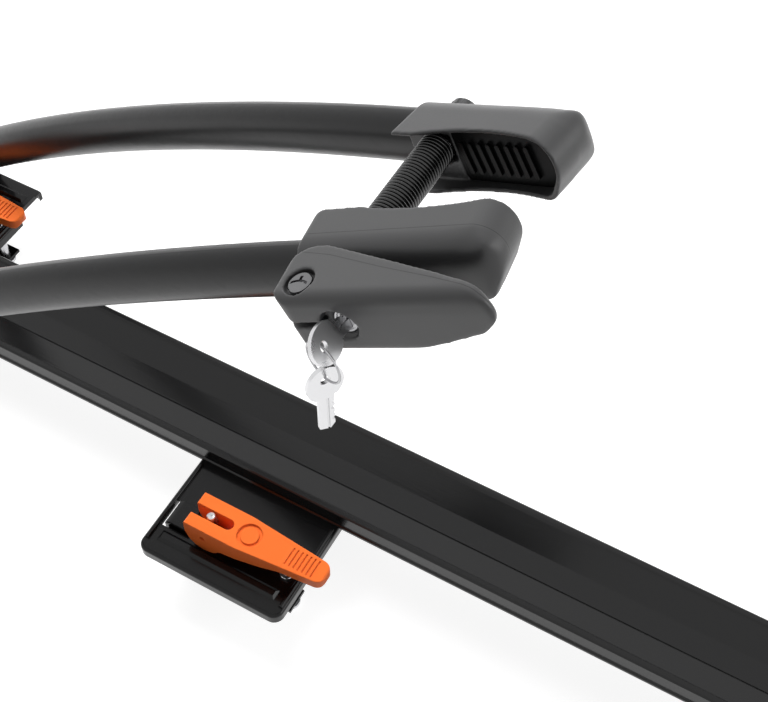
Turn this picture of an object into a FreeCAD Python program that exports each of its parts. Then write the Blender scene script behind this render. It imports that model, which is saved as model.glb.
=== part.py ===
# Roof bike carrier: a flat wheel rail on two quick-clamp brackets, with two
# converging arms that hold the frame in a spring-opened, lever-closed jaw.
# Units are millimetres. X runs along the rail, Y across it, Z up.
# The origin is the middle of the rail's underside.
import FreeCAD, Part
import math
import os

V = FreeCAD.Vector
DEG = 180.0 / math.pi

# Wheel rail
RAIL_LENGTH = 1360.0
RAIL_HALF = 33.0
RAIL_HEIGHT = 15.0
RAIL_WALL = 1.8
RAIL_LIP = 5.0
FLOOR_HALF = 8.5
FLOOR_TOP = 7.0
SLOT_HALF = 4.3
SLOT_INNER_HALF = 8.2
PLUG_DEPTH = 12.0
PLUG_PLAY = 0.2
CAP_THICKNESS = 4.0

# Bracket plates, one under each crossbar clamp
BRACKET_X = 169.0
PLATE_HALF = 52.0
PLATE_REACH = 105.5
PLATE_BACK = 36.0
PLATE_BACK_B = 113.0
PLATE_THICKNESS = 2.5
BOLT_SPREAD = 30.0
FLANGE_HEIGHT = 8.0
RIM_HEIGHT = 2.2
RIM_WIDTH = 2.6
BEAD_HEIGHT = 2.0
PAD_THICKNESS = 3.0
NOTCH_WIDTH = 4.0
NOTCH_Y = 76.0

# Crossbar strap, pull bolt and cam lever
LEVER_Y_A = 75.2
LEVER_Y_B = 62.0
STRAP_WIDTH = 17.0
STRAP_THICKNESS = 2.5
STRAP_DROP = 36.0
STRAP_LEFT = -45.0
STRAP_RIGHT = 40.0
STRAP_TAIL = 5.5
BOLT_R = 3.0
PIN_X = -13.0
PIN_HEIGHT = 14.0
PIN_R = 1.8
CAM_R = 12.0
CAM_OFFSET = 1.7
LEVER_WIDTH = 24.0
LEVER_SLOT = 7.4
LEVER_TIP_WIDTH = 14.0
LEVER_TIP_X = 70.0
LEVER_HEAD_X = -25.8
LEVER_TOP = 24.5
HANDLE_THICKNESS = 7.5

# Frame arms: one bowed oval tube on each side of the rail
ROD_X = 247.5
ROD_Z = 293.0
ARM_PITCH = 27.0
ARM_YAW = 7.3
ARM_BOW_R = 2212.0
ARM_START_ANGLE = -1.6
ARM_OFFSET_N = -4.4
ARM_OFFSET_M = 46.2
ARM_HALF_N = 15.0
ARM_HALF_M = 10.5
ARM_WALL = 2.0
ARM_END_S = 17.5
ARM_SHORT = 33.0
KNUCKLE_REACH = 24.0
FOLD_HEIGHT = 13.123
FOLD_TOP = 50.0

# Arm feet
FOOT_HALF = 12.0
FOOT_SHEET = 2.4
FOOT_BACK = 18.0
FOOT_FRONT = 12.0
CHEEK_R = 16.5
FOLD_PIN_R = 4.0
SPLAY_PIN_R = 3.5
HUB_R = 10.0
HEEL_GAP = 0.6
KNUCKLE_HALF = 9.2
EAR_ROOM = 5.0
EAR = 4.0
TONGUE_R = 8.0

# Clamp rod and spring
ROD_R = 4.0
ROD_PLAY = 0.8
BLADE = 2.6
BLADE_HALF = 3.0
EYE_R = 7.0
NUT_R = 8.0
NUT_LENGTH = 5.0
SPRING_R = 8.2
SPRING_WIRE_R = 0.8
SPRING_PITCH = 2.05
SPRING_NEAR = 32.0
SPRING_FAR = 31.0
SPRING_SEAT = 0.6

# Jaws, measured from the rod along the arm (T), up (N) and outward (M)
JAW_TOP = 17.0
JAW_WALL = 2.2
NEAR_BACK = -28.5
NEAR_INNER = 29.4
NEAR_OUTER = 58.2
COVER_DEPTH = 12.5
NEAR_WEB = 5.2
NEAR_SEAM = NEAR_OUTER - COVER_DEPTH
NEAR_PAD = NEAR_SEAM - NEAR_WEB
NEAR_EDGE = 12.0
NEAR_ROUND = 11.0
NEAR_BOTTOM = -20.5
NEAR_NOSE = 72.0
NEAR_CHIN = 12.5
FAR_BACK = -20.0
FAR_INNER = 19.5
FAR_OUTER = 57.4
FAR_EDGE = 18.0
FAR_ROUND = 16.0
FAR_BOTTOM = -18.2
FAR_NOSE = 74.5
FAR_CHIN = 10.0
NUT_DEPTH = 5.1
NUT_SEAT_M = FAR_OUTER - NUT_DEPTH
NUT_EASE = 0.95
ROD_WAY = [(-12.8, 70), (-0.5, 70), (9.6, 12), (-6.7, 12)]
ROD_WAY_LOW = -5.0
ROD_WAY_HIGH = 9.2
NUT_PLAY = 1.1
NUT_OPEN = (-6.9, 3.5)
NUT_SHUT = (-3.1, 1.75)
ROD_TIP = 2.3
ROD_FAR = NUT_SEAT_M + ROD_TIP
FAR_PAD = 33.5
RIB_COUNT = 8
RIB_START = 9.9
RIB_PITCH = 5.5
RIB_LEAN = 5.0
RIB_TOP = 6.6
RIB_BOTTOM = -10.9

# Quick-release lever, lock and keys
WEDGE_TOP = 22.0
WEDGE_BOTTOM = -14.0
WEDGE_FLARE = 0.3155
WEDGE_SLOT = 3.3
WEDGE_BACK = -21.5
WEDGE_TIP = 85.0
LEVER_GAP = 0.5
WEDGE_NEAR = NEAR_OUTER + LEVER_GAP
WEDGE_DEPTH = 32.3
WEDGE_OUTER = WEDGE_NEAR + WEDGE_DEPTH
SLOT_END = -1.0
PIVOT_DEPTH = 21.6
PIVOT_M = WEDGE_NEAR + PIVOT_DEPTH
PIVOT_R = 3.0
SCREW_R = 5.9
SCREW_TOP = 21.4
LOCK_T = 8.3
LOCK_N = 3.1
LOCK_DEPTH = 27.3
LOCK_M = WEDGE_NEAR + LOCK_DEPTH
LOCK_TILT = 14.0
LOCK_R = 6.5
LOCK_LENGTH = 18.2
LOCK_RECESS_R = 8.8
LOCK_RECESS_T = 7.2
KEY_OUT = 8.0
KEY_TURN = 6.0
KEY_THICKNESS = 2.0
KEY_HOLE_R = 2.5
KEY_HEAD_A = 9.0
KEY_HEAD_B = 11.5
KEY_HEAD_Y = -3.0
KEY_SHOULDER = 12.3
KEY_BLADE = 25.2
KEY_BLADE_HALF = 3.9
RING_R = 10.4
RING_WIRE_R = 0.6
RING_PLAY = 0.3
RING_TURN = -17.2
SPARE_TURN = 59.5

# Wheel holders
HOLDER_INSET = 120.0
HOLDER_X = RAIL_LENGTH / 2 - HOLDER_INSET
HOLDER_HALF = 38.0
HOLDER_OUT = 36.0
HOLDER_LIFT = 0.6
HINGE_IN = 3.2
HINGE_UP = 8.5
HINGE_PIN_R = 1.6
STRAP_BAND = 22.0
STRAP_BAND_T = 2.4
STRAP_TOP = 88.0
STRAP_BEND = 22.0

RUN = 0.05
GAP = 0.3


def box(x0, x1, y0, y1, z0, z1):
    return Part.makeBox(x1 - x0, y1 - y0, z1 - z0, V(x0, y0, z0))


def rod(start, direction, radius, length):
    return Part.makeCylinder(radius, length, start, direction)


def corner_arc(before, corner, after, radius):
    """Tangent points and middle point of the arc that rounds one corner."""
    a = (before - corner).normalize()
    b = (after - corner).normalize()
    half = math.acos(max(-1.0, min(1.0, a.dot(b)))) / 2.0
    reach = radius / math.tan(half)
    middle = (a + b).normalize()
    centre = corner + middle * (radius / math.sin(half))
    return corner + a * reach, centre - middle * radius, corner + b * reach


def outline(points, radii, place):
    """Closed wire through 2-D points, each corner rounded by its radius."""
    flat = [V(p[0], p[1], 0) for p in points]
    count = len(flat)
    edges = []
    first = None
    last = None
    for i in range(count):
        if radii[i] > 0:
            start, mid, end = corner_arc(V(flat[i - 1]), V(flat[i]), V(flat[(i + 1) % count]), radii[i])
            arc = Part.Arc(place(start), place(mid), place(end)).toShape()
        else:
            start = flat[i]
            end = flat[i]
            arc = None
        if last is not None and (start - last).Length > 1e-6:
            edges.append(Part.makeLine(place(last), place(start)))
        if arc is not None:
            edges.append(arc)
        if first is None:
            first = start
        last = end
    if (first - last).Length > 1e-6:
        edges.append(Part.makeLine(place(last), place(first)))
    return Part.Wire(edges)


def slab(points, radii, place, depth):
    """Prism of a rounded outline, pushed along the vector depth."""
    return Part.Face(outline(points, radii, place)).extrude(depth)


def on_xz(y):
    return lambda p: V(p.x, y, p.y)


def on_xy(z):
    return lambda p: V(p.x, p.y, z)


def on_yz(x):
    return lambda p: V(x, p.x, p.y)


def fuse(first, *rest):
    result = first
    for other in rest:
        result = result.fuse(other)
    return result.removeSplitter()


def cut(shape, *tools):
    for tool in tools:
        shape = shape.cut(tool)
    return shape


def rounded(shape, radius, keep):
    """Fillet the edges that the test keep picks."""
    edges = [e for e in shape.Edges if keep(e)]
    return shape.makeFillet(radius, edges)


def write(name, shape):
    if shape.isNull() or not shape.isValid():
        print("not valid:", name)
    shape.exportStep("parts/" + name + ".step")


def group(shapes):
    return Part.makeCompound(shapes)


def arm_place(side):
    """Placement of the jaw frame: x along the arm (T), y to the side's outside times side, z up (N)."""
    turn = FreeCAD.Rotation(V(0, 0, 1), -side * ARM_YAW).multiply(FreeCAD.Rotation(V(0, 1, 0), -ARM_PITCH))
    return FreeCAD.Placement(V(ROD_X, 0, ROD_Z), turn)


def placed(shape, side):
    moved = shape.copy()
    moved.Placement = arm_place(side).multiply(moved.Placement)
    return moved


def arm_point(s):
    """Point on the bowed centreline, s millimetres back from the rod, in T and N, with its slope."""
    start = ARM_START_ANGLE / DEG
    angle = start + s / ARM_BOW_R
    t = -ARM_BOW_R * (math.sin(angle) - math.sin(start))
    n = ARM_OFFSET_N + ARM_BOW_R * (math.cos(angle) - math.cos(start))
    return t, n, angle


def arm_station(s, side):
    """Placement on the arm's centreline: x forward along it, z square to it."""
    t, n, angle = arm_point(s)
    turn = FreeCAD.Rotation(V(0, 1, 0), -angle * DEG)
    return FreeCAD.Placement(V(t, side * ARM_OFFSET_M, n), turn)


def at_station(shape, s, side):
    moved = shape.copy()
    moved.Placement = arm_place(side).multiply(arm_station(s, side)).multiply(moved.Placement)
    return moved


def fold_station():
    """Distance back along the arm at which its centreline comes down to the fold axis."""
    near = 0.0
    far = ARM_BOW_R
    for _ in range(60):
        middle = (near + far) / 2
        t, n, angle = arm_point(middle)
        if arm_place(1).multVec(V(t, ARM_OFFSET_M, n)).z > FOLD_HEIGHT:
            near = middle
        else:
            far = middle
    return near


def fold_axis():
    """X and Z of the axis that both arms fold about."""
    t, n, angle = arm_point(fold_station())
    spot = arm_place(1).multVec(V(t, ARM_OFFSET_M, n))
    return spot.x, spot.y, spot.z


def rail():
    h = RAIL_HALF
    w = RAIL_WALL
    lip = h - 1.0
    inner = lip - RAIL_LIP
    right = [
        (SLOT_HALF, 0), (h, 0), (h, w), (lip, w + 1.0), (lip, RAIL_HEIGHT - 1.2), (lip - 1.0, RAIL_HEIGHT),
        (inner + 1.2, RAIL_HEIGHT), (inner, RAIL_HEIGHT - 1.5), (FLOOR_HALF, FLOOR_TOP),
    ]
    left = [(-y, z) for y, z in reversed(right)]
    slot = [
        (-SLOT_HALF, w), (-SLOT_INNER_HALF, w), (-SLOT_INNER_HALF, FLOOR_TOP - w),
        (SLOT_INNER_HALF, FLOOR_TOP - w), (SLOT_INNER_HALF, w), (SLOT_HALF, w),
    ]
    start = -RAIL_LENGTH / 2.0
    corners = [V(start, y, z) for y, z in right + left + slot]
    body = Part.Face(Part.makePolygon(corners + corners[:1])).extrude(V(RAIL_LENGTH, 0, 0))
    wall_in = SLOT_INNER_HALF + w
    slope = (RAIL_HEIGHT - 1.5 - FLOOR_TOP) / (inner - FLOOR_HALF)
    roof = FLOOR_TOP - w + (wall_in - FLOOR_HALF) * slope
    roof_out = RAIL_HEIGHT - 1.5 - w
    corner = (lip - w, RAIL_HEIGHT - w - 0.6)
    chamber = [(wall_in, w), (lip - w, w), corner, (inner, roof_out), (wall_in, roof)]
    for side in (-1, 1):
        ring = [V(start, side * y, z) for y, z in chamber]
        hollow = Part.Face(Part.makePolygon(ring + ring[:1])).extrude(V(RAIL_LENGTH, 0, 0))
        body = body.cut(hollow)
    groove = box(start, -start, -FLOOR_HALF, -FLOOR_HALF + 0.8, FLOOR_TOP - 0.7, FLOOR_TOP + 1.0)
    return body.cut(groove)


def end_cap(side):
    h = RAIL_HALF
    points = [(-h, 0), (h, 0), (h - 1, RAIL_HEIGHT), (h - 6, RAIL_HEIGHT), (FLOOR_HALF, FLOOR_TOP + 1.0)]
    points += [(-FLOOR_HALF, FLOOR_TOP + 1.0), (-h + 6, RAIL_HEIGHT), (-h + 1, RAIL_HEIGHT)]
    start = side * RAIL_LENGTH / 2.0
    plate = slab(points, [1, 1, 2, 2, 0, 0, 2, 2], on_yz(start), V(side * CAP_THICKNESS, 0, 0))
    wide = SLOT_INNER_HALF - PLUG_PLAY
    plug = box(-PLUG_DEPTH, 0, -wide, wide, RAIL_WALL + PLUG_PLAY, FLOOR_TOP - RAIL_WALL - PLUG_PLAY)
    if side < 0:
        plug = plug.mirror(V(0, 0, 0), V(1, 0, 0))
    plug.translate(V(start, 0, 0))
    return fuse(plate, plug)


def bracket_plate(centre, side, lever_y, back, notch):
    """Pressed plate: flat top at z 0, turned-down edges, raised rims, a long bead and the strap slot."""
    x0 = centre - PLATE_HALF
    x1 = centre + PLATE_HALF
    y0 = -back
    y1 = PLATE_REACH
    t = PLATE_THICKNESS
    plan = [(x0, y0), (x1, y0), (x1, y1), (x0, y1)]
    outer = slab(plan, [6, 6, 7, 7], on_xy(-FLANGE_HEIGHT), V(0, 0, FLANGE_HEIGHT))
    outer = rounded(outer, 2.0, lambda e: e.BoundBox.ZMin > -0.01)
    inner_plan = [(x0 + t, y0 - 1), (x1 - t, y0 - 1), (x1 - t, y1 - t), (x0 + t, y1 - t)]
    inner = slab(inner_plan, [0, 0, 5, 5], on_xy(-FLANGE_HEIGHT - 1), V(0, 0, FLANGE_HEIGHT + 1 - t))
    plate = outer.cut(inner)
    rim_from = RAIL_HALF + 3.0
    for x in (x0 + 1.6, x1 - 1.6 - RIM_WIDTH):
        rim = box(x, x + RIM_WIDTH, rim_from, y1 - 8, -0.5, RIM_HEIGHT)
        plate = plate.fuse(rounded(rim, 1.0, lambda e: e.BoundBox.ZMin > RIM_HEIGHT - 0.01))
    bead_from = x0 + 9
    if notch:
        bead_from = fold_axis()[0] + FOOT_FRONT + 4
    bead = box(bead_from, x1 - 9, y1 - 17.5, y1 - 10, -0.5, BEAD_HEIGHT)
    crest = [e for e in bead.Edges if e.BoundBox.ZMin > BEAD_HEIGHT - 0.01]
    bead = bead.makeChamfer(BEAD_HEIGHT - 0.2, crest)
    plate = plate.fuse(bead)
    slot = box(x0 + 4.4, x0 + 10.4, lever_y - STRAP_WIDTH / 2 - 1.5, lever_y + STRAP_WIDTH / 2 + 1.5, -5, 5)
    bolt_hole = box(centre + PIN_X - 5, centre + PIN_X + 5, lever_y - 4.5, lever_y + 4.5, -5, 1)
    stud = rod(V(centre + STRAP_RIGHT, lever_y, -5), V(0, 0, 1), BOLT_R + 1.5, 10)
    plate = cut(plate, slot, bolt_hole, stud)
    for x in (centre - 30, centre + 30):
        plate = plate.cut(rod(V(x, 0, -5), V(0, 0, 1), 3.3, 10))
    if notch:
        plate = plate.cut(box(x1 - NOTCH_WIDTH, x1 + 1, NOTCH_Y, y1 + 1, -FLANGE_HEIGHT - 1, 5))
        fx, fy, fz = fold_axis()
        tab = box(fx - FOOT_BACK - 2, fx + FOOT_FRONT + 2, y1 - 10, fy + FOOT_HALF + 2, -t, 0)
        plate = plate.fuse(tab)
    plate = plate.removeSplitter()
    return mirrored(plate, side)


def mirrored(shape, side):
    """Parts are drawn on the far side and mirrored to the near one."""
    if side > 0:
        return shape
    return shape.mirror(V(0, 0, 0), V(0, 1, 0))


def bracket_pad(centre, side, lever_y, back):
    """Ribbed rubber strips that lie on the crossbar, on both sides of the strap."""
    top = -PLATE_THICKNESS
    bottom = top - PAD_THICKNESS
    strips = []
    spans = ((-back + 4, lever_y - STRAP_WIDTH / 2 - 4), (lever_y + STRAP_WIDTH / 2 + 4, PLATE_REACH - 5))
    for y0, y1 in spans:
        strip = box(centre - 32, centre + 32, y0, y1, bottom, top)
        for x in (-BOLT_SPREAD, BOLT_SPREAD):
            strip = strip.cut(rod(V(centre + x, 0, bottom - 1), V(0, 0, 1), 7.5, PAD_THICKNESS + 2))
        for k in range(-3, 4):
            x = centre + k * 8.0
            strip = strip.cut(box(x - 1.2, x + 1.2, y0 - 1, y1 + 1, bottom - 1, bottom + 1))
        strips.append(strip)
    return group([mirrored(s, side) for s in strips])


def slot_bolts(centre):
    """Two bolts whose heads run in the rail's underside slot, with nuts under the plate."""
    solids = []
    wide = SLOT_INNER_HALF - 0.4
    for x in (centre - BOLT_SPREAD, centre + BOLT_SPREAD):
        head = box(x - 7.5, x + 7.5, -wide, wide, RAIL_WALL, FLOOR_TOP - RAIL_WALL - 0.3)
        shank = rod(V(x, 0, -10), V(0, 0, 1), 3.0, 10 + RAIL_WALL + 1)
        nut = hexagon(x, 0, -PLATE_THICKNESS - 4.8, 5.0, 4.8)
        solids.append(fuse(head, shank, nut))
    return group(solids)


def hexagon(x, y, z, apothem, height):
    corner = apothem / math.cos(math.pi / 6)
    spots = []
    for k in range(6):
        angle = math.pi / 3 * k
        spots.append(V(x + corner * math.cos(angle), y + corner * math.sin(angle), z))
    return Part.Face(Part.makePolygon(spots + spots[:1])).extrude(V(0, 0, height))


def clamp_strap(centre, side, lever_y):
    """Flat steel strap: tongue under the cam, over and down through the slot, under the bar, up to a stud."""
    t = STRAP_THICKNESS
    left = centre + STRAP_LEFT
    right = centre + STRAP_RIGHT + STRAP_TAIL
    bottom = -STRAP_DROP
    top = 3.2
    tongue_end = centre + PIN_X + 5.0
    outer = [
        (left, bottom), (right, bottom), (right, bottom + t), (left + t, bottom + t),
        (left + t, top), (tongue_end, top), (tongue_end, top + t), (left, top + t),
    ]
    radii = [8, 0, 0, 8 - t, 3.0, 0, 0, 3.0 + t]
    band = slab(outer, radii, on_xz(lever_y - STRAP_WIDTH / 2), V(0, STRAP_WIDTH, 0))
    tongue = LEVER_SLOT - 1.0
    head = centre + LEVER_HEAD_X - 2.5
    for y0, y1 in ((-20, -tongue / 2), (tongue / 2, 20)):
        band = band.cut(box(head, tongue_end + 1, lever_y + y0, lever_y + y1, top - 1, top + t + 1))
    hole = rod(V(centre + PIN_X, lever_y, top - 1), V(0, 0, 1), BOLT_R - 0.6, t + 2)
    stud_hole = rod(V(centre + STRAP_RIGHT, lever_y, bottom - 1), V(0, 0, 1), BOLT_R, t + 2)
    return mirrored(cut(band, hole, stud_hole), side)


def pull_bolt(centre, side, lever_y):
    """Bolt that rises from the tongue through the cam lever's fork, with a round eye on the pin."""
    x = centre + PIN_X
    neck = rod(V(x, lever_y, -1.0), V(0, 0, 1), BOLT_R - 0.6, PIN_HEIGHT + 1.0)
    eye = rod(V(x, lever_y, 5.7), V(0, 0, 1), BOLT_R, LEVER_TOP - 1.5 - 5.7)
    foot = rod(V(x, lever_y, 0.9), V(0, 0, 1), BOLT_R, 2.3)
    tip = Part.makeSphere(BOLT_R, V(x, lever_y, LEVER_TOP - 1.5))
    bore = rod(V(x, lever_y - 10, PIN_HEIGHT), V(0, 1, 0), PIN_R, 20)
    return mirrored(fuse(neck, eye, foot, tip).cut(bore), side)


def cam_pin(centre, side, lever_y):
    half = LEVER_WIDTH / 2 - 3.0
    return mirrored(rod(V(centre + PIN_X, lever_y - half, PIN_HEIGHT), V(0, 1, 0), PIN_R, 2 * half), side)


def strap_stud(centre, side, lever_y):
    """Stud and nut that anchor the strap's other end through the plate."""
    x = centre + STRAP_RIGHT
    shank = rod(V(x, lever_y, -STRAP_DROP), V(0, 0, 1), BOLT_R, STRAP_DROP + 7.5)
    head = rod(V(x, lever_y, -STRAP_DROP - 2.5), V(0, 0, 1), 6.5, 2.5)
    nut = hexagon(x, lever_y, 0.3, 4.2, 4.5)
    return mirrored(fuse(shank, head, nut), side)


def cam_lever(centre, side, lever_y):
    """Moulded cam lever: forked round head over the bolt, tapering handle with a dished thumb spot."""
    x = centre + PIN_X
    cam_z = PIN_HEIGHT - CAM_OFFSET * math.cos(10.0 / DEG)
    cam_x = x + CAM_OFFSET * math.sin(10.0 / DEG)
    head = centre + LEVER_HEAD_X
    tip = centre + LEVER_TIP_X
    top = LEVER_TOP
    low = top - HANDLE_THICKNESS
    side_points = [
        (head, top), (head, PIN_HEIGHT - 0.5), (x - 9.5, PIN_HEIGHT - 8.5), (x + 11.5, PIN_HEIGHT - 7.5),
        (x + 12.5, 7.5), (centre + 28, 13.0), (centre + 40, low), (tip, low), (tip, top),
    ]
    side_radii = [1.5, 2.0, 0, 0, 1.0, 20, 8, 3, 2.5]
    width = LEVER_WIDTH
    body = slab(side_points, side_radii, on_xz(lever_y - width / 2), V(0, width, 0))
    body = body.fuse(rod(V(cam_x, lever_y - width / 2, cam_z), V(0, 1, 0), CAM_R, width))
    half = width / 2
    tip_half = LEVER_TIP_WIDTH / 2
    plan = [(head - 1, lever_y - half), (centre + 10, lever_y - half), (tip, lever_y - tip_half)]
    plan += [(tip, lever_y + tip_half), (centre + 10, lever_y + half), (head - 1, lever_y + half)]
    body = body.common(slab(plan, [0, 30, 6.5, 6.5, 30, 0], on_xy(-5), V(0, 0, top + 10)))
    slot_end = x + 12.5
    fork = box(head - 2, slot_end, lever_y - LEVER_SLOT / 2, lever_y + LEVER_SLOT / 2, -6, top + 2)
    fork = fork.fuse(rod(V(slot_end, lever_y, -6), V(0, 0, 1), LEVER_SLOT / 2, top + 8))
    bore = rod(V(x, lever_y - width, PIN_HEIGHT), V(0, 1, 0), PIN_R + RUN, 2 * width)
    dish = rod(V(centre + 15, lever_y, top - 1.2), V(0, 0, 1), 8.0, 3)
    dish = dish.cut(rod(V(centre + 15, lever_y, top - 1.2), V(0, 0, 1), 5.8, 0.9))
    body = cut(body, fork, bore, dish)
    for k in range(7):
        groove_x = tip - 27 + k * 3.0
        groove = box(groove_x, groove_x + 1.0, lever_y - 6, lever_y + 6, top - 0.6, top + 1)
        body = body.cut(groove)
    return mirrored(body, side)


def arm_foot(side):
    """Stamped channel on the plate that carries one arm's fold pin between its two cheeks."""
    fx, fy, fz = fold_axis()
    inner = FOOT_HALF - FOOT_SHEET
    t = FOOT_SHEET
    y0 = fy - FOOT_HALF
    back = fx - FOOT_BACK
    front = fx + FOOT_FRONT
    cheek = [(back, 0), (front, 0), (front, fz - 8), (fx + 9, fz + 11), (fx - 10, fz + 11)]
    first = slab(cheek, [2, 2, 4, 8, 10], on_xz(y0), V(0, t, 0))
    second = slab(cheek, [2, 2, 4, 8, 10], on_xz(fy + inner), V(0, t, 0))
    base = box(back + 2, front - 2, y0 + 0.5, fy + FOOT_HALF - 0.5, 0, t)
    bore = rod(V(fx, y0 - 1, fz), V(0, 1, 0), FOLD_PIN_R, 2 * FOOT_HALF + 2)
    channel = cut(fuse(first, second, base), bore)
    return mirrored(channel, side)


def fold_pin(side):
    fx, fy, fz = fold_axis()
    half = FOOT_HALF
    pin = rod(V(fx, fy - half - 1.5, fz), V(0, 1, 0), FOLD_PIN_R, 2 * half + 3.0)
    head = rod(V(fx, fy + half, fz), V(0, 1, 0), FOLD_PIN_R + 2.5, 2.5)
    nut = rod(V(fx, fy - half - 4.0, fz), V(0, 1, 0), FOLD_PIN_R + 2.5, 4.0)
    return mirrored(fuse(pin, head, nut), side)


def knuckle(side):
    """Block on the fold pin with a fork for the arm's upright hinge pin."""
    fx, fy, fz = fold_axis()
    reach = KNUCKLE_REACH
    half = KNUCKLE_HALF
    hub = rod(V(0, -half, 0), V(0, 1, 0), HUB_R, 2 * half)
    plan = [(0, -half), (reach + half, -half), (reach + half, half), (0, half)]
    block = slab(plan, [0, half - 0.5, half - 0.5, 0], on_xy(-EAR_ROOM - EAR), V(0, 0, 2 * (EAR_ROOM + EAR)))
    block = fuse(hub, block)
    pin_bore = rod(V(reach, 0, -20), V(0, 0, 1), SPLAY_PIN_R, 40)
    swing = box(reach - TONGUE_R - 0.6, reach + 20, -20, 20, -EAR_ROOM, EAR_ROOM)
    lifted = at_station(cut(block, pin_bore, swing), fold_station(), side)
    bore = rod(V(fx, -200, fz), V(0, 1, 0), FOLD_PIN_R + RUN, 400)
    wide = rod(V(fx, -200, fz), V(0, 1, 0), CHEEK_R + 1.0, 400)
    narrow = rod(V(fx, fy - KNUCKLE_HALF + 0.2, fz), V(0, 1, 0), 90, 2 * KNUCKLE_HALF - 0.4)
    beyond = box(fx - 20, fx + 90, -200, 200, fz - 60, fz + 90).cut(wide)
    heel = box(fx - 60, fx + 60, -200, 200, fz - 80, FOOT_SHEET + HEEL_GAP)
    heel.rotate(V(fx, 0, fz), V(0, -1, 0), -FOLD_TOP)
    return cut(lifted, bore, heel).common(fuse(mirrored(narrow, side), beyond))


def splay_pin(side):
    top = EAR_ROOM + EAR
    shank = rod(V(0, 0, -top - 1), V(0, 0, 1), SPLAY_PIN_R, 2 * top + 1)
    pin = fuse(shank, rod(V(0, 0, top), V(0, 0, 1), 5.2, 2.0))
    pin.translate(V(KNUCKLE_REACH, 0, 0))
    return at_station(pin, fold_station(), side)


def arm(side):
    """Bowed oval steel tube with a welded tongue at its foot."""
    t, n, angle = arm_point(ARM_END_S)
    turn = FreeCAD.Rotation(V(0, 1, 0), -angle * DEG)
    faces = []
    for half_n, half_m in ((ARM_HALF_N, ARM_HALF_M), (ARM_HALF_N - ARM_WALL, ARM_HALF_M - ARM_WALL)):
        oval = Part.Ellipse(V(0, 0, 0), half_n, half_m).toShape()
        oval.Placement = FreeCAD.Placement(V(0, 0, 0), FreeCAD.Rotation(V(0, 1, 0), -90))
        wire = Part.Wire([oval])
        wire.Placement = FreeCAD.Placement(V(t, side * ARM_OFFSET_M, n), turn).multiply(wire.Placement)
        faces.append(Part.Face(wire))
    start = ARM_START_ANGLE / DEG
    centre = V(ARM_BOW_R * math.sin(start), 0, ARM_OFFSET_N - ARM_BOW_R * math.cos(start))
    sweep = (fold_station() - ARM_SHORT - ARM_END_S) / ARM_BOW_R * DEG
    tube = faces[0].revolve(centre, V(0, -1, 0), sweep)
    tube = tube.cut(faces[1].revolve(centre, V(0, -1, 0), sweep))
    tube = placed(tube, side)
    reach = KNUCKLE_REACH
    half = TONGUE_R
    plan = [(reach - half, -half), (reach + 38, -half), (reach + 38, half), (reach - half, half)]
    thick = EAR_ROOM - GAP
    tongue = slab(plan, [half - 0.2, 1, 1, half - 0.2], on_xy(-thick), V(0, 0, 2 * thick))
    tongue = tongue.cut(rod(V(reach, 0, -10), V(0, 0, 1), SPLAY_PIN_R + RUN, 20))
    tongue = at_station(tongue, fold_station(), side)
    return fuse(tube, tongue)


def jaw_profile(side, back, inset):
    """Side outline of one jaw in T and N, drawn inset millimetres inside the outer skin."""
    top = JAW_TOP - inset
    low, nose, chin = (NEAR_BOTTOM, NEAR_NOSE, NEAR_CHIN) if side < 0 else (FAR_BOTTOM, FAR_NOSE, FAR_CHIN)
    low = low + inset
    nose = nose - inset
    points = [(back, low), (nose - chin - inset * 0.2, low), (nose, -1), (nose - 1.0, top), (back, top)]
    return points, [3, 8 - inset * 0.5, 18 - inset, 9 - inset, 3]


def jaw_slab(side, back, inset, m0, m1):
    points, radii = jaw_profile(side, back, inset)
    return slab(points, radii, on_xz(side * m0), V(0, side * (m1 - m0), 0))


def jaw_body(side, back, inner, outer, edge, nose, heel):
    """Jaw blank: side profile with a soft outer edge along it, round at the nose and heel in plan."""
    body = jaw_slab(side, back, 0, inner, outer)
    low = side * inner
    high = side * outer
    reach = 120.0
    across = [(low, -reach / 2), (high, -reach / 2), (high, JAW_TOP), (low, JAW_TOP)]
    body = body.common(slab(across, [0, 0, edge, 0], on_yz(back - 5), V(reach, 0, 0)))
    bottom = NEAR_BOTTOM if side < 0 else FAR_BOTTOM
    across = [(low, bottom), (high, bottom), (high, reach / 2), (low, reach / 2)]
    body = body.common(slab(across, [0, edge * 0.6, 0, 0], on_yz(back - 5), V(reach, 0, 0)))
    tip = NEAR_NOSE if side < 0 else FAR_NOSE
    plan = [(back, low), (tip, low), (tip, high), (back, high)]
    return body.common(slab(plan, [heel, 2.0, nose, 4.0], on_xy(-reach / 2), V(0, 0, reach)))


def arm_socket(side, grow):
    """Room for the arm's end, as a straight oval plug along T."""
    t, n, angle = arm_point(ARM_END_S)
    oval = Part.Ellipse(V(0, 0, 0), ARM_HALF_N + grow, ARM_HALF_M + grow).toShape()
    oval.Placement = FreeCAD.Placement(V(0, 0, 0), FreeCAD.Rotation(V(0, 1, 0), -90))
    wire = Part.Wire([oval])
    turn = FreeCAD.Rotation(V(0, 1, 0), -angle * DEG)
    wire.Placement = FreeCAD.Placement(V(t, side * ARM_OFFSET_M, n), turn).multiply(wire.Placement)
    start = ARM_START_ANGLE / DEG
    centre = V(ARM_BOW_R * math.sin(start), 0, ARM_OFFSET_N - ARM_BOW_R * math.cos(start))
    return Part.Face(wire).revolve(centre, V(0, -1, 0), 30.0 / ARM_BOW_R * DEG)


def rod_bore(side, radius):
    """Bore along the true rod axis, drawn in the jaw frame of one side."""
    hole = rod(V(ROD_X, -150, ROD_Z), V(0, 1, 0), radius, 300)
    hole.Placement = arm_place(side).inverse().multiply(hole.Placement)
    return hole


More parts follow.
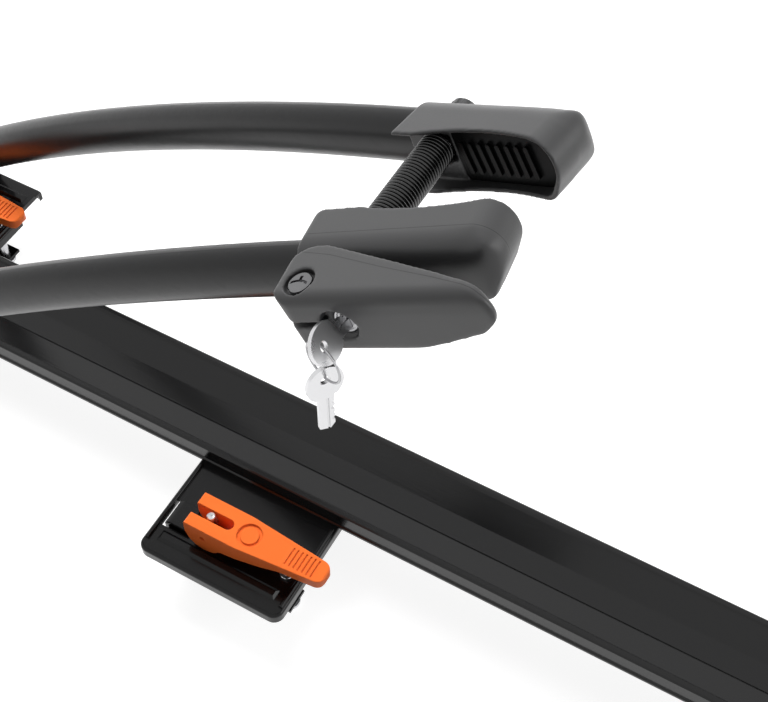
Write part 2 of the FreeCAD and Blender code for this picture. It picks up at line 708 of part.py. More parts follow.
def grip_recess(side, inner, depth, middle, chord):
    """Shallow hollow across the jaw's inner edge that follows a round frame tube."""
    radius = (chord * chord / 4 + depth * depth) / (2 * depth)
    return rod(V(middle, side * (inner + depth - radius), -60), V(0, 0, 1), radius, 120)


def near_shell():
    side = -1
    body = jaw_body(side, NEAR_BACK, NEAR_INNER, NEAR_OUTER, NEAR_EDGE, NEAR_ROUND, 6.0)
    body = body.common(box(-200, 200, -NEAR_SEAM, -NEAR_INNER + 5, -80, 80))
    pocket = jaw_slab(side, 11.0, JAW_WALL, NEAR_INNER - 1, NEAR_PAD)
    body = cut(body, pocket, grip_recess(side, NEAR_INNER, 3.0, 29.0, 66.0), arm_socket(side, 0.0))
    return placed(cut(body, spring_seat(side, SPRING_NEAR), rod_bore(side, ROD_R + ROD_PLAY)), side)


def near_cover():
    side = -1
    body = jaw_body(side, NEAR_BACK, NEAR_INNER, NEAR_OUTER, NEAR_EDGE, NEAR_ROUND, 6.0)
    body = body.common(box(-200, 200, -200, -NEAR_SEAM, -80, 80))
    return placed(cut(body, arm_socket(side, 0.0), rod_bore(side, ROD_R + ROD_PLAY)), side)


def spring_seat(side, reach):
    """Round pocket square to the rod for the spring's end, in the jaw frame of one side."""
    radius = SPRING_R + SPRING_WIRE_R + SPRING_SEAT
    seat = rod(V(ROD_X, 0, ROD_Z), V(0, side, 0), radius, reach + SPRING_WIRE_R + 0.12)
    seat.Placement = arm_place(side).inverse().multiply(seat.Placement)
    return seat


def jaw_pad(side, back):
    """Rubber grip at the bottom of the jaw's pocket, with slanted ribs."""
    deep = NEAR_PAD if side < 0 else FAR_PAD
    face = deep - 3.2
    points, radii = jaw_profile(side, back, JAW_WALL + 0.3)
    block = slab(points, radii, on_xz(side * face), V(0, side * (deep - face), 0))
    lean = math.tan(RIB_LEAN / DEG) * (RIB_TOP - RIB_BOTTOM) / 2
    for k in range(RIB_COUNT):
        t0 = RIB_START + 2.5 + k * RIB_PITCH
        t1 = t0 + 2.6
        rib = [(t0 - lean, RIB_TOP), (t1 - lean, RIB_TOP), (t1 + lean, RIB_BOTTOM), (t0 + lean, RIB_BOTTOM)]
        block = block.fuse(slab(rib, [1.2, 1.2, 1.2, 1.2], on_xz(side * (face - 1.8)), V(0, side * 2.0, 0)))
    return placed(block.removeSplitter(), side)


def rod_way():
    """Slot through the far jaw in which the rod swings as the jaws close."""
    return slab(ROD_WAY, [0, 0, 0, 0], on_xy(ROD_WAY_LOW), V(0, 0, ROD_WAY_HIGH - ROD_WAY_LOW))


def nut_seat():
    """Oval counterbore outside the far jaw, as long as the nut's way from jaws open to jaws closed."""
    reach = NUT_R + NUT_PLAY
    open_t, open_n = NUT_OPEN
    shut_t, shut_n = NUT_SHUT
    length = math.hypot(shut_t - open_t, shut_n - open_n)
    along_t = (shut_t - open_t) / length * reach
    along_n = (shut_n - open_n) / length * reach
    points = [
        (open_t - along_t + along_n, open_n - along_n - along_t),
        (shut_t + along_t + along_n, shut_n + along_n - along_t),
        (shut_t + along_t - along_n, shut_n + along_n + along_t),
        (open_t - along_t - along_n, open_n - along_n + along_t),
    ]
    return slab(points, [reach - 0.1] * 4, on_xz(NUT_SEAT_M), V(0, 20, 0))


def far_shell():
    side = 1
    body = jaw_body(side, FAR_BACK, FAR_INNER, FAR_OUTER, FAR_EDGE, FAR_ROUND, 0.8)
    pocket = jaw_slab(side, 8.0, JAW_WALL, FAR_INNER - 1, FAR_PAD)
    mouth = jaw_slab(side, FAR_BACK - 5, JAW_WALL, FAR_INNER - 1, 30.0)
    body = cut(body, pocket, mouth, grip_recess(side, FAR_INNER, 6.0, 34.5, 81.0), arm_socket(side, 0.0))
    body = cut(body, spring_seat(side, SPRING_FAR), rod_way(), nut_seat())
    return placed(body, side)


def clamp_rod():
    """Threaded rod across both jaws, flattened at the near end to a thin blade with an eye."""
    blade_y = jaw_y(-1, WEDGE_NEAR - 1.3)
    shank = rod(V(ROD_X, blade_y, ROD_Z), V(0, 1, 0), ROD_R, ROD_FAR - blade_y)
    dome = Part.makeSphere(ROD_R, V(ROD_X, ROD_FAR, ROD_Z))
    eye = eye_centre()
    up = arm_place(-1).Rotation.multVec(V(0, 0, 1))
    blade = box(-BLADE_HALF, BLADE_HALF, 0, PIVOT_M - WEDGE_NEAR + 1.5, -BLADE / 2, BLADE / 2)
    blade = blade.fuse(rod(V(0, 0, -BLADE / 2), V(0, 0, 1), EYE_R, BLADE))
    blade.Placement = FreeCAD.Placement(eye, FreeCAD.Rotation(V(0, 0, 1), up))
    bore = rod(eye - up * 10, up, PIVOT_R + RUN, 20)
    return fuse(shank, dome, blade).cut(bore)


def eye_centre():
    """Where the quick lever's pin crosses the rod's axis."""
    return V(ROD_X, jaw_y(-1, PIVOT_M), ROD_Z)


def rod_nut():
    """Round-headed nut on the rod, behind the far jaw."""
    start = jaw_y(1, NUT_SEAT_M) + NUT_R * math.tan(ARM_YAW / DEG) + NUT_EASE
    knob = rod(V(ROD_X, start, ROD_Z), V(0, 1, 0), NUT_R, NUT_LENGTH)
    knob = knob.makeFillet(1.5, [e for e in knob.Edges if e.BoundBox.YMin > start + NUT_LENGTH - 0.01])
    for k in range(10):
        angle = math.pi / 5 * k
        x = ROD_X + (NUT_R + 0.6) * math.cos(angle)
        z = ROD_Z + (NUT_R + 0.6) * math.sin(angle)
        knob = knob.cut(rod(V(x, start - 1, z), V(0, 1, 0), 1.4, NUT_LENGTH + 2))
    return knob.cut(rod(V(ROD_X, start - 1, ROD_Z), V(0, 1, 0), ROD_R + RUN, NUT_LENGTH + 2))


def jaw_y(side, m):
    """Y at which the rod axis crosses the jaw plane M of one side."""
    frame = arm_place(side)
    outward = frame.Rotation.multVec(V(0, side, 0))
    return side * m / abs(outward.y)


def spring():
    """One unbroken close coil along the rod, each quarter turn one arc through the helix."""
    length = SPRING_NEAR + SPRING_FAR
    turns = round(length / SPRING_PITCH)
    pitch = length / turns
    spots = []
    for k in range(turns * 8 + 1):
        angle = math.pi / 4 * k
        y = -SPRING_NEAR + pitch * k / 8.0
        spots.append(V(ROD_X + SPRING_R * math.cos(angle), y, ROD_Z + SPRING_R * math.sin(angle)))
    edges = [Part.Arc(spots[k], spots[k + 1], spots[k + 2]).toShape() for k in range(0, len(spots) - 2, 2)]
    path = Part.Wire(edges)
    least = length
    for k in range(len(spots) - 8):
        for other in (k + 7, k + 8, k + 9):
            if other < len(spots):
                least = min(least, (spots[k] - spots[other]).Length)
    print("spring least gap", round(least - 2 * SPRING_WIRE_R, 3), "turns", turns)
    first = path.Edges[0]
    ring = Part.Wire([Part.makeCircle(SPRING_WIRE_R, spots[0], first.tangentAt(first.FirstParameter))])
    return path.makePipeShell([ring], True, False)


def seam_prism(lift):
    """Everything on the jaw's side of the quick lever's seam."""
    seam = [(-40, 3.3), (-19, 3.6), (-0.2, 6.5), (30.5, 15.3), (58, 22.3), (76.4, 27.5), (91, 31.8)]
    back = [(110, 33.3), (110, -8.7), (-40, -8.7)]
    corners = [V(t, -WEDGE_NEAR - depth, -30) for t, depth in seam + back]
    return Part.Face(Part.makePolygon(corners + corners[:1])).extrude(V(0, 0, lift))


def wedge():
    """Solid outside shape of the quick-release lever, in the near jaw's T, -M and N."""
    near = WEDGE_NEAR
    tip = WEDGE_TIP
    out = WEDGE_OUTER
    back = WEDGE_BACK
    low = WEDGE_BOTTOM
    top = WEDGE_TOP
    fine = near + WEDGE_FLARE * (tip - 2.5)
    plan = [(back, -near), (-4, -near), (tip - 4, -fine), (tip, -fine - 2.5), (tip, -out), (back, -out)]
    body = slab(plan, [13.0, 20.0, 5.0, 2.4, 1.6, 9.0], on_xy(-30), V(0, 0, 70))
    view = [(back, low), (34, low), (tip - 10, low + 11), (tip, low + 20), (tip, top - 2.5), (tip - 12, top)]
    view += [(back, top)]
    body = body.common(slab(view, [7, 90, 12, 8, 7, 14, 3], on_xz(-120), V(0, 80, 0)))
    edge = [(-40, low), (-40, top), (-out, top), (-out, top - 11), (-out + 2.0, low)]
    return body.common(slab(edge, [0, 0, 6, 30, 5], on_yz(-60), V(200, 0, 0)))


def lock_place():
    """Frame on the lock's face in the near jaw: X along T, Z out along the lock's axis."""
    return FreeCAD.Placement(V(LOCK_T, -LOCK_M, LOCK_N), FreeCAD.Rotation(V(1, 0, 0), 90 - LOCK_TILT))


def at_lock(shape):
    shape.Placement = lock_place().multiply(shape.Placement)
    return shape


def wedge_cuts():
    """Blade slot, pivot bore and screw recess, lock seat and key recess."""
    eye = arm_place(-1).inverse().multVec(eye_centre())
    slot = box(-60, SLOT_END, -120, -40, eye.z - WEDGE_SLOT / 2, eye.z + WEDGE_SLOT / 2)
    bore = rod(V(eye.x, eye.y, eye.z - 12), V(0, 0, 1), PIVOT_R + RUN, 40)
    recess = rod(V(eye.x, eye.y, SCREW_TOP - 3.0), V(0, 0, 1), SCREW_R + 1.6, 10)
    seat = at_lock(rod(V(0, 0, -LOCK_LENGTH), V(0, 0, 1), LOCK_R + RUN, LOCK_LENGTH + 5))
    hollow = at_lock(rod(V(LOCK_RECESS_T - LOCK_T, 0, 0), V(0, 0, 1), LOCK_RECESS_R, 20))
    return [slot, bore, recess, seat, hollow]


def quick_body():
    return placed(cut(wedge().common(seam_prism(80)), *wedge_cuts()), -1)


def quick_cover():
    return placed(cut(wedge().cut(seam_prism(80)), *wedge_cuts()), -1)


def pivot_screw():
    """Pivot with a flush head that has one long bowed slot and a short one beside it."""
    eye = arm_place(-1).inverse().multVec(eye_centre())
    shank = rod(V(eye.x, eye.y, eye.z - 12), V(0, 0, 1), PIVOT_R, SCREW_TOP - 3.0 + 12 - eye.z)
    head = rod(V(eye.x, eye.y, SCREW_TOP - 3.0), V(0, 0, 1), SCREW_R, 3.0)
    head = head.makeChamfer(0.6, [e for e in head.Edges if e.BoundBox.ZMin > SCREW_TOP - 0.01])
    bow = rod(V(eye.x - 0.5, eye.y - 8.0, SCREW_TOP - 1.2), V(0, 0, 1), 9.2, 2)
    bow = bow.cut(rod(V(eye.x - 0.5, eye.y - 8.0, SCREW_TOP - 1.3), V(0, 0, 1), 7.8, 3))
    bow = bow.common(box(eye.x - 4.6, eye.x + 4.6, eye.y - 5, eye.y + 5, SCREW_TOP - 2, SCREW_TOP + 2))
    stub = box(eye.x - 0.8, eye.x + 0.8, eye.y, eye.y + 3.4, SCREW_TOP - 1.2, SCREW_TOP + 2)
    return placed(fuse(shank, cut(head, bow, stub)), -1)


def lock_cylinder():
    barrel = rod(V(0, 0, -LOCK_LENGTH), V(0, 0, 1), LOCK_R, LOCK_LENGTH)
    barrel = barrel.makeChamfer(0.8, [e for e in barrel.Edges if e.BoundBox.ZMin > -0.01])
    half = KEY_THICKNESS / 2 + 0.15
    wide = KEY_BLADE_HALF + 0.3
    keyway = box(-half, half, -wide, wide, -KEY_BLADE + KEY_OUT - 0.4, 1)
    keyway.rotate(V(0, 0, 0), V(0, 0, 1), KEY_TURN)
    dish = rod(V(0, 0, -0.8), V(0, 0, 1), LOCK_R - 1.6, 2)
    return placed(at_lock(cut(barrel, keyway, dish)), -1)


def key_shape():
    """Flat key in the XY plane: ring hole at the origin, blade running to -Y."""
    half = KEY_BLADE_HALF
    end = -KEY_SHOULDER - KEY_BLADE
    oval = Part.Ellipse(V(0, KEY_HEAD_B, 0), V(KEY_HEAD_A, 0, 0), V(0, 0, 0)).toShape()
    head = Part.Face(Part.Wire([oval])).extrude(V(0, 0, KEY_THICKNESS))
    head.translate(V(0, KEY_HEAD_Y, 0))
    head = head.common(box(-30, 30, -KEY_SHOULDER, 30, -1, 10))
    root = -KEY_SHOULDER + 2
    blade = [(-half, root), (-half, end + 2.2), (half - 2.5, end), (half, end + 3), (half, root)]
    body = head.fuse(slab(blade, [0, 0, 0, 0, 0], on_xy(0), V(0, 0, KEY_THICKNESS)))
    for k, deep in enumerate((1.3, 0.7, 1.6, 0.9)):
        y = end + 6.5 + k * 4.2
        flank = 1.6 + deep / 2
        tooth = [(half - deep, y - 0.5), (half - deep, y + 0.5), (half + 1, y + flank), (half + 1, y - flank)]
        body = body.cut(slab(tooth, [0, 0, 0, 0], on_xy(-1), V(0, 0, KEY_THICKNESS + 2)))
    groove = box(0.2, 1.3, end - 1, -KEY_SHOULDER - 1.5, KEY_THICKNESS - 0.6, KEY_THICKNESS + 1)
    body = body.cut(groove).cut(rod(V(0, 0, -1), V(0, 0, 1), KEY_HOLE_R, KEY_THICKNESS + 2))
    body.translate(V(0, 0, -KEY_THICKNESS / 2))
    return body


def key_place():
    """Frame on the ring hole of the key in the lock, in the near jaw."""
    turned = FreeCAD.Rotation(V(0, 0, 1), KEY_TURN).multiply(FreeCAD.Rotation(V(0, 1, 0), 90))
    upright = turned.multiply(FreeCAD.Rotation(V(0, 0, 1), 90))
    return lock_place().multiply(FreeCAD.Placement(V(0, 0, KEY_OUT + KEY_SHOULDER), upright))


def lock_key():
    """Key in the lock, its head standing out of the face."""
    key = key_shape()
    key.Placement = key_place().multiply(key.Placement)
    return placed(key, -1)


def ring_axis():
    """Direction of the ring's wire where it passes through the keys."""
    turn = RING_TURN / DEG
    return V(math.cos(turn), math.sin(turn), 0)


def ring_centre():
    """The ring hangs from the lower edge of the key's hole."""
    spot = arm_place(-1).multVec(key_place().Base)
    slack = KEY_HOLE_R - RING_WIRE_R - RING_PLAY - KEY_THICKNESS * 0.55
    return V(spot.x, spot.y, spot.z - RING_R - slack)


def key_ring():
    """Thin upright ring through both keys."""
    return Part.makeTorus(RING_R, RING_WIRE_R, ring_centre(), ring_axis().cross(V(0, 0, 1)))


def spare_key():
    """Second key, hanging upright on the ring."""
    key = key_shape()
    key.rotate(V(0, 0, 0), V(1, 0, 0), 90.0)
    key.rotate(V(0, 0, 0), V(0, 0, 1), SPARE_TURN)
    spot = ring_centre()
    slack = KEY_HOLE_R - RING_WIRE_R - RING_PLAY
    key.translate(V(spot.x, spot.y, spot.z - RING_R - slack))
    return key


def cradle(centre):
    """Moulded wheel holder that sits in the rail's channel, with a trough for the tyre."""
    half = HOLDER_HALF
    bed = RAIL_HEIGHT + HOLDER_LIFT
    sole = FLOOR_TOP + 0.3
    points = [(-FLOOR_HALF + 1, sole), (FLOOR_HALF - 1, sole), (24, bed), (HOLDER_OUT, bed)]
    points += [(HOLDER_OUT, bed + 16), (HOLDER_OUT - 9, bed + 16), (11, bed + 3.4), (-11, bed + 3.4)]
    points += [(-HOLDER_OUT + 9, bed + 16), (-HOLDER_OUT, bed + 16), (-HOLDER_OUT, bed), (-24, bed)]
    block = slab(points, [0, 0, 0, 2, 3, 3, 6, 6, 3, 3, 2, 0], on_yz(centre - half), V(2 * half, 0, 0))
    for side in (-1, 1):
        skirt = box(centre - half, centre + half, RAIL_HALF + GAP + 0.3, HOLDER_OUT, 8.0, bed + 1)
        block = block.fuse(mirrored(skirt, side))
    for side in (-1, 1):
        wide = STRAP_BAND / 2 + 0.6
        pocket = box(centre - wide, centre + wide, HOLDER_OUT - 6.6, HOLDER_OUT + 1, bed + 4, bed + 20)
        block = block.cut(mirrored(pocket, side))
        bore = rod(V(centre - 20, side * (HOLDER_OUT - HINGE_IN), bed + HINGE_UP), V(1, 0, 0), HINGE_PIN_R, 40)
        block = block.cut(bore)
    return block


def holder_pin(centre, side):
    bed = RAIL_HEIGHT + HOLDER_LIFT
    return rod(V(centre - 16, side * (HOLDER_OUT - HINGE_IN), bed + HINGE_UP), V(1, 0, 0), HINGE_PIN_R, 32)


def wheel_strap(centre):
    """Ladder strap: hinged at the far side, arched over the wheel, its end in the buckle."""
    bed = RAIL_HEIGHT + HOLDER_LIFT
    y0 = HOLDER_OUT - HINGE_IN
    z0 = bed + HINGE_UP
    t = STRAP_BAND_T
    wide = y0 + t / 2
    slim = y0 - t / 2
    outer = [(wide, z0), (wide, STRAP_TOP), (-wide, STRAP_TOP), (-wide, z0 + 14)]
    inner = [(-slim, z0 + 14), (-slim, STRAP_TOP - t), (slim, STRAP_TOP - t), (slim, z0)]
    radii = [0, STRAP_BEND, STRAP_BEND, 0, 0, STRAP_BEND - t, STRAP_BEND - t, 0]
    band = slab(outer + inner, radii, on_yz(centre - STRAP_BAND / 2), V(STRAP_BAND, 0, 0))
    eye = rod(V(centre - STRAP_BAND / 2, y0, z0), V(1, 0, 0), 3.0, STRAP_BAND)
    band = band.fuse(eye).cut(rod(V(centre - 20, y0, z0), V(1, 0, 0), HINGE_PIN_R + RUN, 40))
    for k in range(9):
        y = -16.0 + k * 4.0
        band = band.cut(box(centre - 7, centre + 7, y - 0.9, y + 0.9, STRAP_TOP - 0.9, STRAP_TOP + 1))
    return band.removeSplitter()


def buckle(centre):
    """Ratchet buckle body that stands on the near side and holds the strap's end."""
    bed = RAIL_HEIGHT + HOLDER_LIFT
    y0 = -HOLDER_OUT + HINGE_IN
    z0 = bed + HINGE_UP
    w = STRAP_BAND / 2
    outer = [(y0 - 2.6, z0 - 2.6), (y0 + 2.6, z0 - 2.6), (y0 + 2.6, z0 + 30)]
    outer += [(y0 - 8.5, z0 + 30), (y0 - 8.5, z0 + 17), (y0 - 2.6, z0 + 9)]
    body = slab(outer, [2.4, 2.4, 2, 4, 3, 3], on_yz(centre - w), V(2 * w, 0, 0))
    room = box(centre - w + 2.2, centre + w - 2.2, y0 - 12, y0 + 1.6, z0 + 11, z0 + 31)
    band_room = box(centre - w - 1, centre + w + 1, y0 - 1.5, y0 + 4, z0 + 13.7, z0 + 31)
    pin = rod(V(centre - 20, y0, z0), V(1, 0, 0), HINGE_PIN_R + RUN, 40)
    lever_bore = rod(V(centre - 20, y0 - 5.6, z0 + 22), V(1, 0, 0), 1.5, 40)
    return cut(body, room, band_room, pin, lever_bore)


def buckle_lever(centre):
    """Thumb lever of the buckle with its own cross pin."""
    bed = RAIL_HEIGHT + HOLDER_LIFT
    y = -HOLDER_OUT + HINGE_IN - 5.6
    z = bed + HINGE_UP + 22
    w = STRAP_BAND / 2 - 2.7
    pin = rod(V(centre - STRAP_BAND / 2, y, z), V(1, 0, 0), 1.5 - RUN, STRAP_BAND)
    points = [(y - 2.4, z - 2.8), (y + 2.4, z - 2.8), (y + 2.4, z + 6)]
    points += [(y - 4.5, z + 19), (y - 8, z + 19), (y - 2.4, z + 5)]
    plate = slab(points, [2, 2, 6, 1.5, 1.5, 6], on_yz(centre - w), V(2 * w, 0, 0))
    return plate.fuse(pin)


def main():
    os.makedirs("parts", exist_ok=True)
    write("rail", rail())
    write("rail_end_cap_front", end_cap(1))
    write("rail_end_cap_rear", end_cap(-1))
    for tag, centre, side, lever_y, back, notch in (
        ("a", BRACKET_X, -1, LEVER_Y_A, PLATE_BACK, False),
        ("b", -BRACKET_X, 1, LEVER_Y_B, PLATE_BACK_B, True),
    ):
        write("bracket_plate_" + tag, bracket_plate(centre, side, lever_y, back, notch))
        write("bracket_pads_" + tag, bracket_pad(centre, side, lever_y, back))
        write("slot_bolts_" + tag, slot_bolts(centre))
        write("clamp_strap_" + tag, clamp_strap(centre, side, lever_y))
        write("pull_bolt_" + tag, pull_bolt(centre, side, lever_y))
        write("cam_pin_" + tag, cam_pin(centre, side, lever_y))
        write("strap_stud_" + tag, strap_stud(centre, side, lever_y))
        write("cam_lever_" + tag, cam_lever(centre, side, lever_y))
    for tag, side in (("near", -1), ("far", 1)):
        write("arm_foot_" + tag, arm_foot(side))
        write("fold_pin_" + tag, fold_pin(side))
        write("knuckle_" + tag, knuckle(side))
        write("splay_pin_" + tag, splay_pin(side))
        write("arm_" + tag, arm(side))
    write("near_jaw_shell", near_shell())
    write("near_jaw_cover", near_cover())
    write("near_jaw_pad", jaw_pad(-1, 11.3))
    write("far_jaw_shell", far_shell())
    write("far_jaw_pad", jaw_pad(1, 8.3))
    write("clamp_rod", clamp_rod())
    write("rod_nut", rod_nut())
    write("clamp_spring", spring())
    write("quick_lever_body", quick_body())
    write("quick_lever_cover", quick_cover())
    write("pivot_screw", pivot_screw())
    write("lock_cylinder", lock_cylinder())
    write("lock_key", lock_key())
    write("key_ring", key_ring())
    write("spare_key", spare_key())
    for tag, centre in (("front", HOLDER_X), ("rear", -HOLDER_X)):
        write("wheel_cradle_" + tag, cradle(centre))
        write("cradle_pins_" + tag, group([holder_pin(centre, -1), holder_pin(centre, 1)]))
        write("wheel_strap_" + tag, wheel_strap(centre))
        write("strap_buckle_" + tag, buckle(centre))
        write("buckle_lever_" + tag, buckle_lever(centre))


main()
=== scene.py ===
import bpy
import bmesh
import math
import numpy as np
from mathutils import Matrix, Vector


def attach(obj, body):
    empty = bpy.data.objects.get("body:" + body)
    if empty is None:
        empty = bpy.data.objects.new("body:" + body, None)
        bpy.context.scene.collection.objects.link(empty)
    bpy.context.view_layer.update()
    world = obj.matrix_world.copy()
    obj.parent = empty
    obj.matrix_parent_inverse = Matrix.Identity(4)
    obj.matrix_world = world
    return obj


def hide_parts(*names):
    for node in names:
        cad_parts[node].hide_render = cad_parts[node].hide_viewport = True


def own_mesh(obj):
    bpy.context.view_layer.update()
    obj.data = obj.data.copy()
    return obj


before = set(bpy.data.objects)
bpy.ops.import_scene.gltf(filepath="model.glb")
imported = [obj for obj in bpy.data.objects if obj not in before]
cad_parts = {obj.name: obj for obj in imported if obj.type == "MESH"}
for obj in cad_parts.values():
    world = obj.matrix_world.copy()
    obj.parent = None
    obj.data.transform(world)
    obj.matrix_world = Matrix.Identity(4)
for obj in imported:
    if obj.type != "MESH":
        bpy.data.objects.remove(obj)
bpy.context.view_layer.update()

# Camera: place in metres, angles in degrees, lens and film in millimetres
CAMERA_PLACE = (0.4515, -0.384, 0.756)
CAMERA_DIP = 53.6
CAMERA_TURN = 29.4
LENS = 63.9
SENSOR = 36.0

# Materials: depth of the grain in metres, samples of a soft edge, shade in a seam
BUMP_DEPTH = 0.0004
EDGE_SAMPLES = 6
SEAM_SHADE = 0.15
WHITE = (1.0, 1.0, 1.0, 1.0)

# Jaw frame: its origin on the rod, its rise along the jaw and its turn about the vertical
JAW_ORIGIN = np.array((0.2475, 0.0, 0.293))
JAW_RISE = math.radians(27.0)
JAW_TOE = math.radians(7.3)

# Mouldings: size of their faces, length over which the round outline fades in, and steps of the search for it
VOXEL = 0.0007
FADE = 0.020
DIRECTIONS = 720
HALVINGS = 30
EVENING_PASSES = 3

# Seams, outward from the rod in the jaw frame, in metres
NEAR_SEAM = 0.0457
LEVER_SEAM_ALONG = (-0.040, -0.019, -0.0002, 0.0305, 0.058, 0.0764, 0.091)
LEVER_SEAM_OUT = (0.0620, 0.0623, 0.0652, 0.0740, 0.0810, 0.0862, 0.0905)

# Floor and background
FLOOR_SIZE = 14.0
FLOOR_PLACE = (0.2, 0.0, -0.0392)
FLOOR_GREY = (0.36, 0.36, 0.36, 1.0)
FLOOR_GLOW = 0.88
WORLD_LIGHT = 0.18
WORLD_SEEN = 1.0

scene = bpy.context.scene
scene.view_settings.view_transform = "Standard"

camera_data = bpy.data.cameras.new("camera")
camera_data.lens = LENS
camera_data.sensor_width = SENSOR
camera_data.clip_start = 0.01
camera_data.clip_end = 20.0
camera = bpy.data.objects.new("camera", camera_data)
scene.collection.objects.link(camera)
camera.location = CAMERA_PLACE
camera.rotation_euler = (math.radians(90.0 - CAMERA_DIP), 0.0, math.radians(CAMERA_TURN))
scene.camera = camera


# Materials
def socket(node, name, value):
    node.inputs[name].default_value = value


def mapped(tree, source, before, after):
    """Maps one range of values to another and stays within it."""
    band = tree.nodes.new("ShaderNodeMapRange")
    socket(band, "From Min", before[0])
    socket(band, "From Max", before[1])
    socket(band, "To Min", after[0])
    socket(band, "To Max", after[1])
    tree.links.new(source, band.inputs["Value"])
    return band.outputs["Result"]


def spread_range(tree, source, low, high):
    """Maps the middle of a noise to a narrow band of values."""
    return mapped(tree, source, (0.3, 0.7), (low, high))


def scaled(tree, color, factor):
    """Colour times a factor that varies over the surface."""
    product = tree.nodes.new("ShaderNodeVectorMath")
    product.operation = "SCALE"
    tree.links.new(color, product.inputs[0])
    tree.links.new(factor, product.inputs["Scale"])
    return product.outputs["Vector"]


def noise(tree, place, scale, detail):
    field = tree.nodes.new("ShaderNodeTexNoise")
    socket(field, "Scale", scale)
    socket(field, "Detail", detail)
    tree.links.new(place, field.inputs["Vector"])
    return field.outputs["Fac"]


def finish_material(name, color, rough, metal=0.0, grain=0.0, grain_size=1500.0, spread=0.06,
                    mottle=18.0, rough_spread=0.05, coat=0.0, coat_rough=0.08, stretch=(1.0, 1.0, 1.0),
                    edge=0.0, specular=0.5, rounding=0.0, seam=0.0):
    """Surface with soft edges, fine grain in its bump and slow drift in colour and roughness.

    edge lightens the outer edges as a painted highlight, rounding softens their shade over that radius,
    and seam darkens a line of that half width where the mesh's seam value is nought, as painted shade
    in the gap at the seam.
    """
    mat = bpy.data.materials.new(name)
    mat.use_nodes = True
    tree = mat.node_tree
    shader = tree.nodes["Principled BSDF"]
    coords = tree.nodes.new("ShaderNodeTexCoord")
    mapping = tree.nodes.new("ShaderNodeMapping")
    socket(mapping, "Scale", stretch)
    tree.links.new(coords.outputs["Object"], mapping.inputs["Vector"])
    place = mapping.outputs["Vector"]
    slow = noise(tree, place, mottle, 4.0)
    base = tree.nodes.new("ShaderNodeRGB")
    base.outputs[0].default_value = (color[0], color[1], color[2], 1.0)
    shade = scaled(tree, base.outputs[0], spread_range(tree, slow, 1.0 - spread, 1.0 + spread))
    if edge > 0:
        # Painted highlight: colour lightened on sharp outer edges, where light would catch them.
        geometry = tree.nodes.new("ShaderNodeNewGeometry")
        painted_edge_highlight = mapped(tree, geometry.outputs["Pointiness"], (0.52, 0.62), (1.0, 1.0 + edge))
        shade = scaled(tree, shade, painted_edge_highlight)
    if seam > 0:
        # Painted shade: a dark line along the seam, where the gap between shell and cover would lie in shade.
        line = tree.nodes.new("ShaderNodeAttribute")
        line.attribute_name = "seam"
        away = tree.nodes.new("ShaderNodeMath")
        away.operation = "ABSOLUTE"
        tree.links.new(line.outputs["Fac"], away.inputs[0])
        painted_seam_shade = mapped(tree, away.outputs[0], (seam * 0.5, seam), (SEAM_SHADE, 1.0))
        shade = scaled(tree, shade, painted_seam_shade)
    tree.links.new(shade, shader.inputs["Base Color"])
    gloss = spread_range(tree, slow, max(0.02, rough - rough_spread), min(1.0, rough + rough_spread))
    tree.links.new(gloss, shader.inputs["Roughness"])
    socket(shader, "Metallic", metal)
    socket(shader, "Specular IOR Level", specular)
    socket(shader, "Coat Weight", coat)
    socket(shader, "Coat Roughness", coat_rough)
    bump = tree.nodes.new("ShaderNodeBump")
    socket(bump, "Strength", grain)
    socket(bump, "Distance", BUMP_DEPTH)
    tree.links.new(noise(tree, place, grain_size, 2.0), bump.inputs["Height"])
    if rounding > 0:
        soft = tree.nodes.new("ShaderNodeBevel")
        soft.samples = EDGE_SAMPLES
        socket(soft, "Radius", rounding)
        tree.links.new(soft.outputs["Normal"], bump.inputs["Normal"])
    tree.links.new(bump.outputs["Normal"], shader.inputs["Normal"])
    return mat


